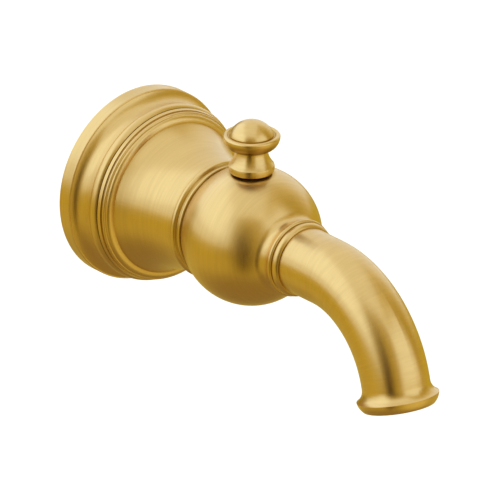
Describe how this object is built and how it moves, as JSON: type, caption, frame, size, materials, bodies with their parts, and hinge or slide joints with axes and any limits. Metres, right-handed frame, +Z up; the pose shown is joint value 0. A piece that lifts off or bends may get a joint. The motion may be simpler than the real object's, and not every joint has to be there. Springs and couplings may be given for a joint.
{
  "type": "bath spout",
  "caption": "Wall-mounted bath spout: stepped round flange, bell and ball body, curved nose with a flared lip, and a lift knob on top that moves a gate to send water to a shower.",
  "frame": {"origin": "on the inlet's axis, in the plane of the wall", "axes": "+X out from the wall along the inlet's axis, +Z up along the diverter's stem, +Y to the side"},
  "size_m": [0.1836, 0.0812, 0.0972],
  "materials": {
    "brushed_gold": "satin brushed gold",
    "plain_brass": "machined",
    "rubber": "matt black",
    "screw_steel": "machined"
  },
  "bodies": {
    "spout": {"wall_flange": "brushed_gold", "wall_gasket": "rubber", "flange_o_ring": "rubber", "spout_body": "brushed_gold", "ball_body": "brushed_gold", "spout_nose": "brushed_gold", "inlet_adapter": "plain_brass", "inlet_o_ring_rear": "rubber", "inlet_o_ring_front": "rubber", "set_screw": "screw_steel", "diverter_seat": "plain_brass", "stem_guide": "plain_brass", "stem_o_ring": "rubber"},
    "diverter": {"diverter_stem": "plain_brass", "gate_cup": "plain_brass", "gate_seal": "rubber", "gate_rivet": "plain_brass", "diverter_knob": "brushed_gold"}
  },
  "joints": [
    {"name": "diverter_lift", "type": "slide", "parent": "spout", "child": "diverter", "axis": [0, 0, 1], "range_m": [0, 0.013]}
  ]
}
